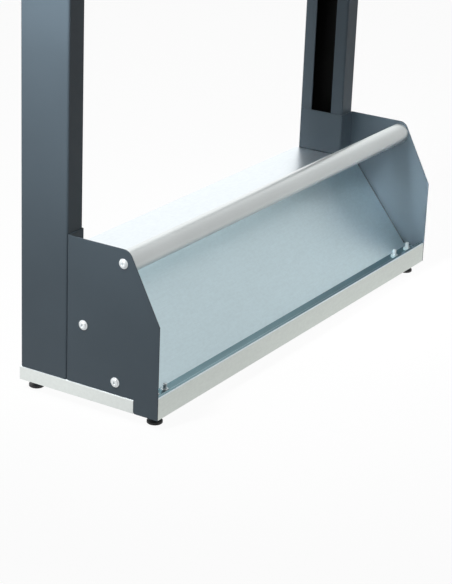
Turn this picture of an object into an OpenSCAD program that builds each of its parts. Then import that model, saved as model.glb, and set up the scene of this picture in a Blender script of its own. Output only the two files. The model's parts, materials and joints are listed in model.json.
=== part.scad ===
/* [Stand] */
// Width over the outer faces of the two side panels
stand_w = 1000; // [800:10:1200]
// Length of each upright post
post_l = 1550; // [1200:10:1900]
// Depth from the face of the fascia to the back of the drip tray
stand_d = 297; // [290:1:320]

/* [Base rails] */
// Height of the rail channels
rail_h = 26; // [24:1:30]
// Width of the end rails and of the front rail
rail_w = 50; // [46:1:56]
// Depth of the rear rail
rear_rail_w = 38; // [34:1:44]
// Sheet thickness of the rails and the fascia
rail_t = 2; // [1.5:0.5:2.5]
// Height of the fascia in front of the gutter
fascia_h = 41; // [38:1:50]
// Depth of the lip folded back at the top of the fascia
fascia_lip = 8; // [6:1:12]

/* [Side panels] */
// Sheet thickness of the side panels
panel_t = 2; // [1.5:0.5:2.5]
// Height of the panels' top edge over the underside of the rails
panel_h = 293.5; // [280:0.5:330]
// Height at which the front edge starts to slope back
panel_front_h = 170.5; // [150:0.5:190]
// How far the sloped front edge runs back at the top
panel_slope_run = 64.5; // [50:0.5:80]
// Radius of the top front corner
panel_corner_r = 20; // [8:1:24]

/* [Posts] */
// Width of a post along the stand
post_w = 44; // [40:1:50]
// Depth of a post
post_d = 100; // [90:1:104]
// Sheet thickness of a post
post_t = 2.5; // [2:0.5:3]
// Width of the open slot on a post's inner face
slot_w = 47; // [40:1:54]

/* [Drip tray] */
// Sheet thickness of the drip tray
tray_t = 1.5; // [1:0.5:2]
// Height of the tray's shelf over the underside of the rails
shelf_h = 207; // [195:1:215]
// Where the gutter's floor turns up into the slope, from the fascia's face
gutter_w = 41; // [38:1:46]
// Depth of the flanges folded down at the slope's two sides
side_flange = 38; // [34:1:42]

/* [Front bar] */
// Outer diameter of the front bar
bar_d = 40; // [34:1:42]
// Wall thickness of the front bar
bar_wall = 2; // [1.5:0.5:3]
// Distance of the bar's axis behind the fascia's face
bar_y = 75.5; // [74:0.5:90]
// Height of the bar's axis over the underside of the rails
bar_z = 268; // [255:1:270]

/* [Levelling feet] */
// Height of the rails' underside over the floor
foot_h = 20; // [20:0.5:22]
// Diameter of a foot's pad
pad_d = 28; // [26:1:32]
// Diameter of the studs and bolts
stud_d = 8; // [8:0.5:8]

/* [Ski holder] */
// How far the holder rail's axis sits below the posts' tops
holder_drop = 266; // [190:2:600]
// Height of the holder rail's section
holder_h = 60; // [50:5:70]
// Depth of the holder rail's section
holder_d = 40; // [30:5:50]
// Number of pegs along the rail
peg_count = 7; // [4:1:7]
// Spacing of the pegs
peg_pitch = 134; // [110:2:134]
// Length of a peg in front of the rail
peg_l = 125; // [90:5:140]

/* [Hidden] */
$fn = 48;
sides = [-1, 1];

// Heights over the floor
rail_z = foot_h;
web_z = rail_z + rail_h;
panel_top_z = rail_z + panel_h;
floor_top_z = web_z + tray_t;
shelf_z = rail_z + shelf_h;
post_top_z = web_z + post_l;

// Places across and along the stand: the front is at low y
x_out = stand_w / 2;
x_in = x_out - panel_t;
y_front = -stand_d / 2;
y_rear = stand_d / 2;
rear_gap = 2;
post_setback = 2.5;
slope_setback = 5.5;
base_rear = y_rear - rear_gap;
post_y0 = base_rear - post_setback - post_d;
post_mid_y = post_y0 + post_d / 2;
post_in = x_out - post_w;
side_gap = 0.3;
cut = 1;

// Folds
fold_r = 1.5;
flange_y = post_y0 - panel_t / 2;
inner_flange_x = post_in - panel_t / 2;
shelf_rear = post_y0 - panel_t - side_gap;
shelf_x = post_in - panel_t - side_gap;
slope_top_y = post_y0 - slope_setback;
slope_run = slope_top_y - (y_front + gutter_w);
slope_rise = shelf_z - floor_top_z;
slope_a = atan2(slope_rise, slope_run);
slope_l = norm([slope_run, slope_rise]);
flange_from = 18;
flange_to = slope_l - 4;
edge_fold = 3;

// Fastener sizes
bolt_hole = stud_d + 0.4;
thread_bore = stud_d + 0.1;
head_d = 18;
head_h = 4.4;
nut_af = 13;
nut_h = 6.5;
hex_head_h = 5.3;
thread_end = 2;
plate_t = 3;
plate_arm = 40;
plate_l = 100;
plate_gap = 3;
front_plate_l = 92;
base_plate_t = 4;

// Where things are fastened: the tray's side bolts go by how far up the slope and how far under it they sit
bar_at = [y_front + bar_y, rail_z + bar_z];
tray_bolt_up = [46.4, 158.5];
tray_bolt_under = [23.5, 20.6];
tray_bolts_at = [for (i = [0, 1])
    [y_front + gutter_w, floor_top_z] + tray_bolt_up[i] * [cos(slope_a), sin(slope_a)]
        + tray_bolt_under[i] * [sin(slope_a), -cos(slope_a)]];
foot_inset = 30;
foot_front_inset = 25;
foot_rear_inset = 15;
gutter_bolt_insets = [58, 87];
front_arm_inset = 80;
rear_arm_inset = 82;
post_bolt_inset = 20;
foot_x = x_out - foot_inset;
foot_front_y = y_front + foot_front_inset;
foot_rear_y = base_rear - foot_rear_inset;
gutter_bolt_xs = [-(x_out - gutter_bolt_insets[0]), x_out - gutter_bolt_insets[1]];
front_arm_x = x_out - rail_w / 2;
front_arm_bolt_y = y_front + front_arm_inset;
rear_arm_bolt_x = x_out - rear_arm_inset;
post_bolt_x = x_out - post_w / 2;
post_bolt_y = post_y0 + post_bolt_inset;
stud_proud = 10;
gutter_bolt_proud = 10.5;
stud_top_z = floor_top_z + nut_h + stud_proud;
gutter_bolt_top_z = floor_top_z + nut_h + gutter_bolt_proud;

// Levelling feet
pad_h = 9;
pad_rim_h = 4.5;
socket_d = 12.1;
socket_z = 3;
ball_d = 12;
ball_gap = 0.1;
collar_from = 9.5;
collar_to = foot_h - 0.4;
bush_d = 16;
bush_z = rail_z + 0.5;

// Top of the stand
beam_drop = 75;
beam_h = post_w;
beam_d = post_d - 20;
beam_z = post_top_z - beam_drop;
beam_t = 2;
tube_r = 4;
end_plate_t = 4;
end_plate_h = 110;
end_plate_r = 6;
beam_bolt_dz = 38;
slot_plate_t = 5;
slot_plate_play = 2;
slot_plate_short = 10;
cap_t = 4;
cap_wall = 2.5;
cap_skirt = 14;
holder_t = 2;
holder_z = post_top_z - holder_drop;
holder_bolt_dz = holder_h / 2 - 13;
bracket_t = 4;
bracket_arm = 52;
bracket_short = 8;
holder_bolt_x = post_in - 28;
holder_cap_t = 3;
holder_cap_in = 12;
peg_d = 12;
peg_end = 4;
sleeve_d = 20;
sleeve_knob_d = 27;
sleeve_fit = 0.05;

anthracite = [0.33, 0.37, 0.41];
galvanised = [0.75, 0.79, 0.79];
bright_tube = [0.8, 0.81, 0.81];
zinc = [0.82, 0.84, 0.86];
black = [0.08, 0.08, 0.09];

// Outline of folded sheet: a centre line of straight runs becomes a strip with rounded folds
function unit(v) = v / norm(v);
function left_of(v) = [-v[1], v[0]];
function spun(v, a) = [v[0] * cos(a) - v[1] * sin(a), v[0] * sin(a) + v[1] * cos(a)];
function turn(u, w) = atan2(u[0] * w[1] - u[1] * w[0], u * w);
function arc(p, q, s, r, off, steps) =
    let (u = unit(q - p), a = turn(u, unit(s - q)), side = sign(a), to_centre = left_of(u) * side)
    let (centre = q - u * r * tan(abs(a) / 2) + to_centre * r)
    [for (i = [0:steps]) centre - spun(to_centre, a * i / steps) * (r - off * side)];
function edge_of(p, r, off, steps) =
    let (n = len(p) - 1, first = left_of(unit(p[1] - p[0])), last = left_of(unit(p[n] - p[n - 1])))
    concat(
        [p[0] + first * off],
        [for (i = [1:n - 1]) each arc(p[i - 1], p[i], p[i + 1], r, off, steps)],
        [p[n] + last * off]);
function backwards(v) = [for (i = [len(v) - 1:-1:0]) v[i]];
module strip(p, t, r = fold_r, steps = 6) {
    mid_r = r + t / 2;
    polygon(concat(edge_of(p, mid_r, t / 2, steps), backwards(edge_of(p, mid_r, -t / 2, steps))));
}

// A flat outline drawn in y and z, made solid along x from x0 to x1
module along_x(x0, x1) {
    translate([x0, 0, 0]) rotate([90, 0, 90]) linear_extrude(x1 - x0) children();
}
// A flat outline drawn in x and z, made solid along y from y0 to y1
module along_y(y0, y1) {
    translate([0, y1, 0]) rotate([90, 0, 0]) linear_extrude(y1 - y0) children();
}
module along_z(z0, z1) {
    translate([0, 0, z0]) linear_extrude(z1 - z0) children();
}
module drill_z(x, y, z0, z1, d) {
    translate([x, y, z0]) cylinder(d = d, h = z1 - z0);
}
module drill_x(y, z, x0, x1, d) {
    translate([x0, y, z]) rotate([0, 90, 0]) cylinder(d = d, h = x1 - x0);
}
module drill_y(x, z, y0, y1, d) {
    translate([x, y0, z]) rotate([-90, 0, 0]) cylinder(d = d, h = y1 - y0);
}
// The left side is drawn, and the right side is its mirror image
module on_side(s) {
    if (s > 0) mirror([1, 0, 0]) children();
    else children();
}

// Fasteners stand on z = 0 with the head above and the shank below
module button_bolt(shank) {
    key_af = 5;
    key_depth = 2.6;
    rim = head_d / 2;
    difference() {
        union() {
            rotate_extrude() polygon([
                [0, 0], [rim, 0], [rim, 1], [rim - 1.6, 1.5], [rim - 2.4, 2.9],
                [rim - 4, 3.9], [rim - 6, head_h], [0, head_h]]);
            translate([0, 0, -shank]) cylinder(d = stud_d, h = shank);
        }
        translate([0, 0, head_h - key_depth]) cylinder(d = key_af / cos(30), h = key_depth + cut, $fn = 6);
    }
}
module hex_bolt(shank) {
    cylinder(d = nut_af / cos(30), h = hex_head_h, $fn = 6);
    translate([0, 0, -shank]) cylinder(d = stud_d, h = shank);
}
module hex_nut() {
    chamfer_h = 0.8;
    face_r = nut_af / 2 - 0.2;
    wide_r = face_r + 1.4;
    difference() {
        intersection() {
            cylinder(d = nut_af / cos(30), h = nut_h, $fn = 6);
            rotate_extrude() polygon([
                [0, 0], [face_r, 0], [wide_r, chamfer_h],
                [wide_r, nut_h - chamfer_h], [face_r, nut_h], [0, nut_h]]);
        }
        translate([0, 0, -cut]) cylinder(d = thread_bore, h = nut_h + 2 * cut);
    }
}
module nut_up(x, y, z) {
    translate([x, y, z]) hex_nut();
}
module bolt_from_below(x, y, z, shank) {
    translate([x, y, z]) mirror([0, 0, 1]) hex_bolt(shank);
}

// Side panels: one folded sheet each, an outer plate with two flanges that wrap the post
panel_bottom_z = web_z + side_gap;
module panel_outline(rear) {
    slope = atan2(panel_h - panel_front_h, panel_slope_run);
    run = panel_corner_r * tan(slope / 2);
    centre = [y_front + panel_slope_run + run, panel_top_z - panel_corner_r];
    steps = 10;
    round_top = [for (i = [0:steps], a = slope * i / steps) centre + panel_corner_r * [-sin(a), cos(a)]];
    tab_r = 4;
    tab_corner = [y_front + rail_w - tab_r, rail_z + tab_r];
    round_tab = [for (i = [0:steps], a = 90 * i / steps) tab_corner + tab_r * [sin(a), -cos(a)]];
    polygon(concat(
        [[rear, panel_top_z]], round_top,
        [[y_front, rail_z + panel_front_h], [y_front, rail_z]], round_tab,
        [[y_front + rail_w, panel_bottom_z], [rear, panel_bottom_z]]));
}
module side_panel(s) {
    bend_room = 10;
    wrap_short = 3;
    low_flange_short = 1;
    color(anthracite) on_side(s) difference() {
        plate_rear = post_y0 - bend_room;
        mid = panel_t / 2 - x_out;
        wrap_rear = post_y0 + post_d - wrap_short;
        union() {
            along_x(-x_out, -x_in) panel_outline(plate_rear);
            along_z(panel_bottom_z, shelf_z + side_gap)
                strip([[mid, plate_rear], [mid, flange_y], [-post_in - low_flange_short, flange_y]], panel_t);
            along_z(shelf_z + side_gap, panel_top_z)
                strip([[mid, plate_rear], [mid, flange_y], [-inner_flange_x, flange_y],
                       [-inner_flange_x, wrap_rear]], panel_t);
        }
        for (p = concat([bar_at], tray_bolts_at)) drill_x(p[0], p[1], -x_out - cut, -x_in + cut, bolt_hole);
    }
}

// Posts: an open channel with its slot facing the other post
module post(s) {
    lip = (post_d - slot_w) / 2;
    outer = post_t / 2 - x_out;
    inner = -post_in - post_t / 2;
    front = post_y0 + post_t / 2;
    rear = post_y0 + post_d - post_t / 2;
    color(anthracite) on_side(s) along_z(web_z, post_top_z)
        strip([[inner, post_y0 + lip], [inner, front], [outer, front], [outer, rear],
               [inner, rear], [inner, post_y0 + post_d - lip]], post_t);
}
module post_base_plate(s) {
    edge = post_t + side_gap;
    color(galvanised) on_side(s) difference() {
        along_z(web_z, web_z + base_plate_t) translate([-x_out + post_w / 2, post_mid_y])
            rounded_box(post_w - 2 * edge, post_d - 2 * edge, fold_r);
        drill_z(-foot_x, foot_rear_y, web_z - cut, web_z + base_plate_t + cut, bolt_hole);
        drill_z(-post_bolt_x, post_bolt_y, web_z - cut, web_z + base_plate_t + cut, bolt_hole);
    }
}
module post_cap(s) {
    fit = post_t + side_gap;
    inner = fit + cap_wall;
    color(black) on_side(s) translate([-x_out + post_w / 2, post_mid_y, 0]) {
        along_z(post_top_z, post_top_z + cap_t) rounded_box(post_w, post_d, fold_r + post_t);
        along_z(post_top_z - cap_skirt, post_top_z) difference() {
            rounded_box(post_w - 2 * fit, post_d - 2 * fit, fold_r);
            square([post_w - 2 * inner, post_d - 2 * inner], center = true);
        }
    }
}

// Base rails: channels with the web on top and a leg down on each side
module channel_section(a, b) {
    lower = rail_z;
    top = web_z - rail_t / 2;
    strip([[a + rail_t / 2, lower], [a + rail_t / 2, top], [b - rail_t / 2, top], [b - rail_t / 2, lower]],
        rail_t);
}
module end_rail(s) {
    rail_y0 = y_front + rail_w + side_gap;
    color(galvanised) on_side(s) difference() {
        along_y(rail_y0, base_rear) channel_section(-x_out, -x_out + rail_w);
        translate([-x_out + rail_w - rail_t - fold_r, base_rear - rear_rail_w, rail_z - cut])
            cube([rail_t + fold_r + cut, rear_rail_w + cut, rail_h - rail_t + cut]);
        drill_z(-front_arm_x, front_arm_bolt_y, rail_z, web_z + cut, bolt_hole);
        drill_z(-post_bolt_x, post_bolt_y, rail_z, web_z + cut, bolt_hole);
        drill_z(-foot_x, foot_rear_y, rail_z, web_z + cut, bolt_hole);
    }
}
module front_rail() {
    rail_x = x_in - side_gap;
    color(galvanised) difference() {
        along_x(-rail_x, rail_x) channel_section(y_front + rail_t, y_front + rail_w);
        for (s = sides) {
            translate([s * front_arm_x - rail_w / 2, y_front + rail_w - rail_t - fold_r, rail_z - cut])
                cube([rail_w, rail_t + fold_r + cut, rail_h - rail_t + cut]);
            drill_z(s * foot_x, foot_front_y, rail_z, web_z + cut, bolt_hole);
        }
        for (x = gutter_bolt_xs) drill_z(x, foot_front_y, rail_z, web_z + cut, bolt_hole);
    }
}
module rear_rail() {
    rail_x = x_out - rail_w - side_gap;
    color(galvanised) difference() {
        along_x(-rail_x, rail_x) channel_section(base_rear - rear_rail_w, base_rear);
        for (s = sides) drill_z(s * rear_arm_bolt_x, foot_rear_y, rail_z, web_z + cut, bolt_hole);
    }
}
module front_fascia() {
    face_x = x_in - side_gap;
    mid = y_front + rail_t / 2;
    top = rail_z + fascia_h - rail_t / 2;
    color(galvanised) along_x(-face_x, face_x)
        strip([[mid, rail_z], [mid, top], [y_front + fascia_lip, top]], rail_t);
}

// Drip tray: upstand, gutter floor, slope and shelf are one sheet, with flanges at the sides
module on_slope() {
    translate([0, y_front + gutter_w, floor_top_z]) rotate([slope_a, 0, 0]) children();
}
module tray_section() {
    half = tray_t / 2;
    upstand_y = y_front + rail_t + side_gap + half;
    upstand_top_z = rail_z + fascia_h - rail_t - fold_r - side_gap;
    strip([
        [upstand_y, upstand_top_z], [upstand_y, floor_top_z - half],
        [y_front + gutter_w + half * tan(slope_a / 2), floor_top_z - half],
        [slope_top_y + half * tan(slope_a / 2), shelf_z - half],
        [shelf_rear, shelf_z - half]], tray_t);
}
module slope_with_flanges() {
    x = x_in - tray_t / 2;
    on_slope() along_y(flange_from, flange_to)
        strip([[-x, -side_flange], [-x, -tray_t / 2], [x, -tray_t / 2], [x, -side_flange]],
            tray_t, edge_fold);
}
module tray_shelf() {
    x = shelf_x - tray_t / 2;
    side_drop = 18;
    rear_drop = 25;
    relief = 4;
    join = 0.01;
    mid_z = shelf_z - tray_t / 2;
    rear_mid = y_rear - tray_t / 2;
    along_y(shelf_rear - join, y_rear - relief)
        strip([[-x, shelf_z - side_drop], [-x, mid_z], [x, mid_z], [x, shelf_z - side_drop]], tray_t);
    along_x(-shelf_x + relief, shelf_x - relief)
        strip([[shelf_rear, mid_z], [rear_mid, mid_z], [rear_mid, shelf_z - rear_drop]], tray_t);
}
module drip_tray() {
    edge_x = x_in - side_gap;
    fold_side = edge_fold + tray_t + side_gap;
    flange_room = 1.5;
    rail_room = 4;
    color(galvanised) difference() {
        union() {
            difference() {
                along_x(-edge_x, edge_x) tray_section();
                on_slope() for (s = sides) translate([s * x_in - fold_side, flange_from, -2 * tray_t])
                    cube([2 * fold_side, flange_to - flange_from, 4 * tray_t]);
            }
            slope_with_flanges();
            tray_shelf();
        }
        // the slope's flanges stop short of the panels' own flanges and of the end rails
        for (s = sides) translate([s * x_in - fold_side, 0, 0]) {
            translate([0, shelf_rear - flange_room, shelf_z - 2 * side_flange])
                cube([2 * fold_side, post_d, 2 * side_flange - tray_t]);
            translate([0, y_front + rail_w - rail_room, 0]) cube([2 * fold_side, stand_d, web_z + side_gap]);
        }
        for (p = tray_bolts_at, s = sides)
            drill_x(p[0], p[1], s * x_in - fold_side, s * x_in + fold_side, bolt_hole);
        for (s = sides) drill_z(s * foot_x, foot_front_y, web_z - cut, floor_top_z + cut, bolt_hole);
        for (x = gutter_bolt_xs) drill_z(x, foot_front_y, web_z - cut, floor_top_z + cut, bolt_hole);
    }
}

// Corner plates join the rails under their webs and carry the feet
module corner_arms(corner, arm_x, arm_y) {
    translate([min(corner[0], corner[0] + arm_x[0]), min(corner[1], corner[1] + arm_x[1])])
        square([abs(arm_x[0]), abs(arm_x[1])]);
    translate([min(corner[0], corner[0] + arm_y[0]), min(corner[1], corner[1] + arm_y[1])])
        square([abs(arm_y[0]), abs(arm_y[1])]);
}
plate_z = web_z - rail_t - plate_t;
plate_x = -x_out + rail_t + plate_gap;
module front_corner_plate(s) {
    front = y_front + 2 * rail_t + fold_r;
    color(galvanised) difference() {
        on_side(s) along_z(plate_z, plate_z + plate_t)
            corner_arms([plate_x, front], [plate_l, plate_arm], [plate_arm, front_plate_l]);
        drill_z(s * foot_x, foot_front_y, plate_z - cut, web_z, bolt_hole);
        drill_z(s * front_arm_x, front_arm_bolt_y, plate_z - cut, web_z, bolt_hole);
        drill_z(s < 0 ? gutter_bolt_xs[0] : gutter_bolt_xs[1], foot_front_y, plate_z - cut, web_z, bolt_hole);
    }
}
module rear_corner_plate(s) {
    rear = base_rear - rail_t - fold_r;
    across = rear_rail_w - 2 * rail_t - 2 * fold_r;
    color(galvanised) on_side(s) difference() {
        along_z(plate_z, plate_z + plate_t)
            corner_arms([plate_x, rear], [plate_l, -across], [plate_arm, post_y0 - rear]);
        drill_z(-foot_x, foot_rear_y, plate_z - cut, web_z, bolt_hole);
        drill_z(-post_bolt_x, post_bolt_y, plate_z - cut, web_z, bolt_hole);
        drill_z(-rear_arm_bolt_x, foot_rear_y, plate_z - cut, web_z, bolt_hole);
    }
}

// Levelling feet
module at_feet() {
    for (s = sides, y = [foot_front_y, foot_rear_y]) translate([s * foot_x, y, 0]) children();
}
module foot_bushes() {
    color(zinc) at_feet() difference() {
        translate([0, 0, bush_z]) cylinder(d = bush_d, h = plate_z - bush_z);
        translate([0, 0, bush_z - cut]) cylinder(d = thread_bore, h = plate_z - bush_z + 2 * cut);
    }
}
module foot_lock_nuts() {
    color(zinc) for (s = sides) {
        nut_up(s * foot_x, foot_front_y, floor_top_z);
        nut_up(s * foot_x, foot_rear_y, web_z + base_plate_t);
    }
}
module foot_pad(x, y) {
    edge = 1;
    neck_r = socket_d / 2 + 2.4;
    color(black) translate([x, y, 0]) rotate_extrude() polygon([
        [0, 0], [pad_d / 2 - edge, 0], [pad_d / 2, edge], [pad_d / 2, pad_rim_h],
        [pad_d / 2 - edge, pad_rim_h + edge], [neck_r + 0.8, pad_h - 0.6], [neck_r, pad_h],
        [socket_d / 2, pad_h], [socket_d / 2, socket_z], [0, socket_z]]);
}
module foot_stud(x, y) {
    ball_from = socket_z + ball_gap;
    color(zinc) translate([x, y, 0]) {
        translate([0, 0, ball_from]) cylinder(d = ball_d, h = collar_from - ball_from);
        translate([0, 0, collar_from]) cylinder(d = nut_af / cos(30), h = collar_to - collar_from, $fn = 6);
        translate([0, 0, collar_to]) cylinder(d = stud_d, h = stud_top_z - collar_to);
    }
}

// Front bar
module front_bar() {
    color(bright_tube) difference() {
        drill_x(bar_at[0], bar_at[1], -x_in, x_in, bar_d);
        drill_x(bar_at[0], bar_at[1], -x_in - cut, x_in + cut, bar_d - 2 * bar_wall);
    }
}
plug_l = 25;
module bar_plug(s) {
    color(zinc) on_side(s) difference() {
        drill_x(bar_at[0], bar_at[1], -x_in, -x_in + plug_l, bar_d - 2 * bar_wall);
        drill_x(bar_at[0], bar_at[1], -x_in - cut, -x_in + plug_l + cut, thread_bore);
    }
}
module side_bolt(s, at, shank) {
    translate([s * x_out, at[0], at[1]]) rotate([0, s * 90, 0]) button_bolt(shank);
}
module bar_bolts() {
    grip = plug_l - 5;
    color(zinc) for (s = sides) side_bolt(s, bar_at, panel_t + grip);
}
module tray_side_bolts() {
    color(zinc) for (s = sides, p = tray_bolts_at)
        side_bolt(s, p, panel_t + tray_t + nut_h + 2 * thread_end);
}
module tray_side_nuts() {
    color(zinc) for (s = sides, p = tray_bolts_at)
        translate([s * (x_in - tray_t), p[0], p[1]]) rotate([0, -s * 90, 0]) hex_nut();
}
module gutter_bolts() {
    color(zinc) for (x = gutter_bolt_xs)
        bolt_from_below(x, foot_front_y, plate_z, gutter_bolt_top_z - plate_z);
}
module gutter_nuts() {
    color(zinc) for (x = gutter_bolt_xs) nut_up(x, foot_front_y, floor_top_z);
}
module frame_bolts() {
    shank = plate_t + rail_t + nut_h + thread_end;
    color(zinc) for (s = sides) {
        bolt_from_below(s * front_arm_x, front_arm_bolt_y, plate_z, shank);
        bolt_from_below(s * rear_arm_bolt_x, foot_rear_y, plate_z, shank);
    }
}
module frame_nuts() {
    color(zinc) for (s = sides) {
        nut_up(s * front_arm_x, front_arm_bolt_y, web_z);
        nut_up(s * rear_arm_bolt_x, foot_rear_y, web_z);
    }
}
module post_base_bolts() {
    shank = plate_t + rail_t + base_plate_t + nut_h + thread_end;
    color(zinc) for (s = sides) bolt_from_below(s * post_bolt_x, post_bolt_y, plate_z, shank);
}
module post_base_nuts() {
    color(zinc) for (s = sides) nut_up(s * post_bolt_x, post_bolt_y, web_z + base_plate_t);
}

// Top beam between the posts, held in their slots
module rounded_box(w, h, r) {
    for (sx = sides, sy = sides) translate([sx * (w / 2 - r), sy * (h / 2 - r)]) circle(r);
    square([w - 2 * r, h], center = true);
    square([w, h - 2 * r], center = true);
}
module tube_section(w, h, t, r) {
    difference() {
        rounded_box(w, h, r);
        rounded_box(w - 2 * t, h - 2 * t, r - t + 0.2);
    }
}
module top_beam() {
    beam_x = post_in - end_plate_t;
    color(anthracite) along_x(-beam_x, beam_x)
        translate([post_mid_y, beam_z]) tube_section(beam_d, beam_h, beam_t, tube_r);
}
module beam_plate(s) {
    color(anthracite) on_side(s) difference() {
        along_x(-post_in, -post_in + end_plate_t)
            translate([post_mid_y, beam_z]) rounded_box(beam_d, end_plate_h, end_plate_r);
        for (dz = [-beam_bolt_dz, beam_bolt_dz])
            drill_x(post_mid_y, beam_z + dz, -x_out, 0, bolt_hole);
    }
}

// Clamps in the posts' slots: a threaded plate behind the lips and two bolts through the part in front of them
module slot_plate(s, z, bolt_dz, plate_h) {
    plate_d = post_d - 2 * post_t - 2 * slot_plate_play;
    color(zinc) on_side(s) difference() {
        along_x(-post_in - post_t - slot_plate_t, -post_in - post_t)
            translate([post_mid_y, z]) square([plate_d, plate_h], center = true);
        for (dz = [-bolt_dz, bolt_dz]) drill_x(post_mid_y, z + dz, -x_out, 0, thread_bore);
    }
}
module slot_bolts(z, bolt_dz, clamped_t) {
    color(zinc) for (s = sides, dz = [-bolt_dz, bolt_dz])
        translate([s * (post_in - clamped_t), post_mid_y, z + dz])
            rotate([0, -s * 90, 0]) button_bolt(clamped_t + post_t + slot_plate_t + thread_end);
}
module beam_slot_plate(s) {
    slot_plate(s, beam_z, beam_bolt_dz, end_plate_h - slot_plate_short);
}
module beam_bolts() {
    slot_bolts(beam_z, beam_bolt_dz, end_plate_t);
}

// Ski holder: a rail with a row of sleeved pegs, held to both posts by brackets in their slots
holder_y = post_y0 - holder_d / 2;
module holder_rail() {
    color(anthracite) difference() {
        along_x(-x_out, x_out) translate([holder_y, holder_z])
            tube_section(holder_d, holder_h, holder_t, tube_r);
        for (s = sides, dz = [-holder_bolt_dz, holder_bolt_dz])
            drill_y(s * holder_bolt_x, holder_z + dz, post_y0 - holder_d - cut, post_y0 + cut, bolt_hole);
        for (x = peg_xs)
            drill_y(x, holder_z, post_y0 - holder_d - cut, post_y0 - holder_d + holder_t + cut, bolt_hole);
    }
}
module holder_cap(s) {
    inset = 2 * holder_t + 0.4;
    color(black) on_side(s) {
        along_x(-x_out - holder_cap_t, -x_out) translate([holder_y, holder_z])
            rounded_box(holder_d, holder_h, tube_r);
        along_x(-x_out, -x_out + holder_cap_in) translate([holder_y, holder_z])
            rounded_box(holder_d - inset, holder_h - inset, tube_r - holder_t);
    }
}
module holder_bracket(s) {
    rail_leg = post_y0 + bracket_t / 2;
    post_leg = -post_in + bracket_t / 2;
    color(anthracite) on_side(s) difference() {
        along_z(holder_z - holder_h / 2, holder_z + holder_h / 2)
            strip([[-post_in + bracket_arm, rail_leg], [post_leg, rail_leg],
                   [post_leg, post_y0 + post_d - bracket_short]], bracket_t);
        for (dz = [-holder_bolt_dz, holder_bolt_dz]) {
            drill_y(-holder_bolt_x, holder_z + dz, post_y0 - cut, post_y0 + bracket_t + cut, bolt_hole);
            drill_x(post_mid_y, holder_z + dz, -x_out, 0, bolt_hole);
        }
    }
}
module holder_slot_plate(s) {
    slot_plate(s, holder_z, holder_bolt_dz, holder_h - slot_plate_short);
}
module holder_slot_bolts() {
    slot_bolts(holder_z, holder_bolt_dz, bracket_t);
}
module holder_bolts() {
    color(zinc) for (s = sides, dz = [-holder_bolt_dz, holder_bolt_dz])
        translate([s * holder_bolt_x, post_y0 - holder_d, holder_z + dz])
            rotate([90, 0, 0]) button_bolt(holder_d + bracket_t + nut_h + thread_end);
}
module holder_nuts() {
    color(zinc) for (s = sides, dz = [-holder_bolt_dz, holder_bolt_dz])
        translate([s * holder_bolt_x, post_y0 + bracket_t, holder_z + dz]) rotate([-90, 0, 0]) hex_nut();
}
peg_xs = [for (i = [0:peg_count - 1]) (i - (peg_count - 1) / 2) * peg_pitch];
module ski_pegs() {
    threaded = holder_t + nut_h + thread_end;
    color(zinc) for (x = peg_xs)
        translate([x, post_y0 - holder_d, holder_z]) rotate([90, 0, 0]) {
            cylinder(d = peg_d, h = peg_l - peg_end);
            translate([0, 0, -threaded]) cylinder(d = stud_d, h = threaded);
        }
}
module peg_nuts() {
    color(zinc) for (x = peg_xs)
        translate([x, post_y0 - holder_d + holder_t, holder_z]) rotate([-90, 0, 0]) hex_nut();
}
module peg_sleeves() {
    bore = peg_d / 2 + sleeve_fit;
    body = sleeve_d / 2;
    knob = sleeve_knob_d / 2;
    foot = body + 2;
    nose_r = 4;
    steps = 6;
    nose = [for (i = [0:steps]) nose_r * [cos(90 * i / steps), sin(90 * i / steps)]];
    color(black) for (x = peg_xs)
        translate([x, post_y0 - holder_d, holder_z]) rotate([90, 0, 0]) rotate_extrude() polygon(concat(
            [[bore, side_gap], [foot, side_gap], [foot, 3], [body, 6]],
            [[body, peg_l - 18], [knob - 1.5, peg_l - 12], [knob, peg_l - 8]],
            [for (p = nose) [knob - nose_r, peg_l - nose_r] + p],
            [[0, peg_l], [0, peg_l - peg_end], [bore, peg_l - peg_end]]));
}

side_panel(-1);  // left_side_panel
side_panel(1);  // right_side_panel
post(-1);  // left_post
post(1);  // right_post
post_base_plate(-1);  // left_post_base_plate
post_base_plate(1);  // right_post_base_plate
post_cap(-1);  // left_post_cap
post_cap(1);  // right_post_cap
end_rail(-1);  // left_end_rail
end_rail(1);  // right_end_rail
front_rail();
rear_rail();
front_fascia();
drip_tray();
front_corner_plate(-1);  // front_left_corner_plate
front_corner_plate(1);  // front_right_corner_plate
rear_corner_plate(-1);  // rear_left_corner_plate
rear_corner_plate(1);  // rear_right_corner_plate
foot_bushes();
foot_lock_nuts();
foot_pad(-foot_x, foot_front_y);  // front_left_foot_pad
foot_pad(foot_x, foot_front_y);  // front_right_foot_pad
foot_pad(-foot_x, foot_rear_y);  // rear_left_foot_pad
foot_pad(foot_x, foot_rear_y);  // rear_right_foot_pad
foot_stud(-foot_x, foot_front_y);  // front_left_foot_stud
foot_stud(foot_x, foot_front_y);  // front_right_foot_stud
foot_stud(-foot_x, foot_rear_y);  // rear_left_foot_stud
foot_stud(foot_x, foot_rear_y);  // rear_right_foot_stud
front_bar();
bar_plug(-1);  // left_bar_plug
bar_plug(1);  // right_bar_plug
bar_bolts();
tray_side_bolts();
tray_side_nuts();
gutter_bolts();
gutter_nuts();
frame_bolts();
frame_nuts();
post_base_bolts();
post_base_nuts();
top_beam();
beam_plate(-1);  // left_beam_plate
beam_plate(1);  // right_beam_plate
beam_bolts();
beam_slot_plate(-1);  // left_beam_slot_plate
beam_slot_plate(1);  // right_beam_slot_plate
holder_rail();
holder_cap(-1);  // left_holder_cap
holder_cap(1);  // right_holder_cap
holder_bracket(-1);  // left_holder_bracket
holder_bracket(1);  // right_holder_bracket
holder_slot_plate(-1);  // left_holder_slot_plate
holder_slot_plate(1);  // right_holder_slot_plate
holder_slot_bolts();
holder_bolts();
holder_nuts();
ski_pegs();
peg_sleeves();
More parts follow.
